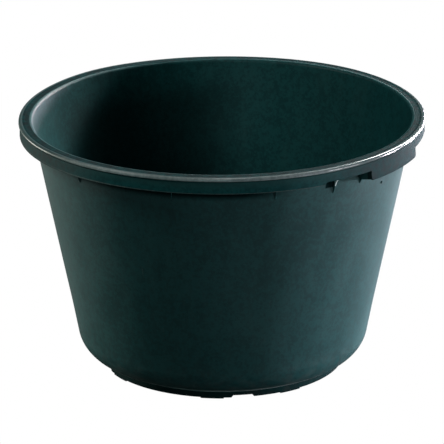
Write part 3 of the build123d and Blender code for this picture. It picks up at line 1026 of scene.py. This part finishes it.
def aim(ob, target):
    ob.rotation_euler = (Vector(target) - ob.location).to_track_quat("-Z", "Y").to_euler()


def add_light(name, kind, location, target, **settings):
    light = bpy.data.lights.new(name, kind)
    for key, value in settings.items():
        setattr(light, key, value)
    ob = bpy.data.objects.new(name, light)
    scene.collection.objects.link(ob)
    ob.location = location
    aim(ob, target)


# name, azimuth, elevation, distance, width, height, power in watts, colour
SOFTBOXES = (
    ("key", 135, 24, 2.8, 0.42, 0.42, 100, WHITE),
    ("back_low", 144, 5, 2.8, 1.0, 0.4, 165, (1.0, 0.86, 0.98)),
    ("back_high", 148, 41, 2.8, 1.0, 0.6, 66, WHITE),
    ("side", 101, 1, 3.0, 0.40, 0.24, 118, (1.0, 0.89, 0.98)),
    ("side_back", 122, 2, 2.8, 0.5, 0.24, 60, (1.0, 0.88, 0.97)),
    ("side_fill", 66, 2, 2.8, 0.7, 0.3, 25, (1.0, 0.95, 1.0)),
    ("left_high", -80, 42, 2.8, 1.0, 0.6, 26, (1.0, 0.98, 0.93)),
    ("left_edge", -118, 1, 2.8, 0.6, 0.24, 66, (1.0, 0.98, 0.88)),
    ("left_fill", -50, 2, 3.0, 0.8, 0.4, 3, (0.70, 1.0, 1.0)),
    ("front_low", -4, 4, 3.0, 0.8, 0.4, 4, (0.55, 1.0, 1.0)),
    ("overhead", 5, 72, 2.6, 0.36, 0.22, 5, WHITE),
    # mirrored in the rim's top at a low angle
    ("backdrop", 180, 20, 3.4, 3.2, 1.0, 1.4, WHITE),
)
for name, azimuth, elevation, distance, width, height, power, colour in SOFTBOXES:
    add_light(name, "AREA", around(azimuth, elevation, distance), target=(0, 0, 0.25),
              shape="RECTANGLE", size=width, size_y=height, energy=power, color=colour)
# a soft patch on the inside of the far wall
add_light("inner_patch", "SPOT", around(azimuth=-16, elevation=36, distance=3.0),
          target=around(azimuth=173, elevation=0, distance=0.27, target=(0, 0, 0.31)),
          energy=74, color=WHITE, spot_size=math.radians(5.8), spot_blend=1.0,
          shadow_soft_size=0.10)


# ------------------------------------------------------------------ floor and world
def make_floor():
    """White to the camera from above and clear from below; a dim grey to all other rays."""
    half, z = 30.0, -0.0002
    floor = link_mesh("floor", [(-half, -half, z), (half, -half, z), (half, half, z),
                                (-half, half, z)], [(0, 1, 2, 3)])
    material = bpy.data.materials.new("pale_floor")
    nodes = Nodes(material)
    to_camera = nodes.new("ShaderNodeLightPath").outputs["Is Camera Ray"]
    seen = nodes.new("ShaderNodeEmission", {"Color": (1.0, 1.0, 1.0, 1), "Strength": 1.0})
    unseen = nodes.new("ShaderNodeBsdfDiffuse", {"Color": (0.06, 0.062, 0.062, 1)})
    above = nodes.mix_shaders(to_camera, unseen, seen)
    backfacing = nodes.new("ShaderNodeNewGeometry").outputs["Backfacing"]
    from_below = nodes.product(backfacing, to_camera)
    surface = nodes.mix_shaders(from_below, above, nodes.new("ShaderNodeBsdfTransparent"))
    nodes.new("ShaderNodeOutputMaterial", {"Surface": surface.outputs[0]})
    floor.data.materials.append(material)


def make_world():
    """White to the camera, a faint cool light to the scene."""
    scene.world = bpy.data.worlds.new("studio")
    nodes = Nodes(scene.world)
    to_camera = nodes.new("ShaderNodeLightPath").outputs["Is Camera Ray"]
    seen = nodes.new("ShaderNodeBackground", {"Color": (1, 1, 1, 1), "Strength": 1.0})
    faint = nodes.new("ShaderNodeBackground", {"Color": (0.93, 0.97, 1.0, 1), "Strength": 0.008})
    surface = nodes.mix_shaders(to_camera, faint, seen)
    nodes.new("ShaderNodeOutputWorld", {"Surface": surface.outputs[0]})


make_floor()
make_world()
scene.view_settings.view_transform = "Standard"
scene.view_settings.look = "None"

# ------------------------------------------------------------------ camera
CAMERA_TARGET = (0, 0, 0.212)

camera_data = bpy.data.cameras.new("camera")
camera = bpy.data.objects.new("camera", camera_data)
scene.collection.objects.link(camera)
camera_data.sensor_width = 36.0
camera_data.lens = 388.378378
camera_data.shift_x = -0.0009009009
camera_data.clip_end = 100.0
camera.location = around(azimuth=0, elevation=19.05, distance=7.12, target=CAMERA_TARGET)
aim(camera, CAMERA_TARGET)
camera.rotation_euler.rotate_axis("Z", math.radians(-0.25))   # a slight roll
scene.camera = camera
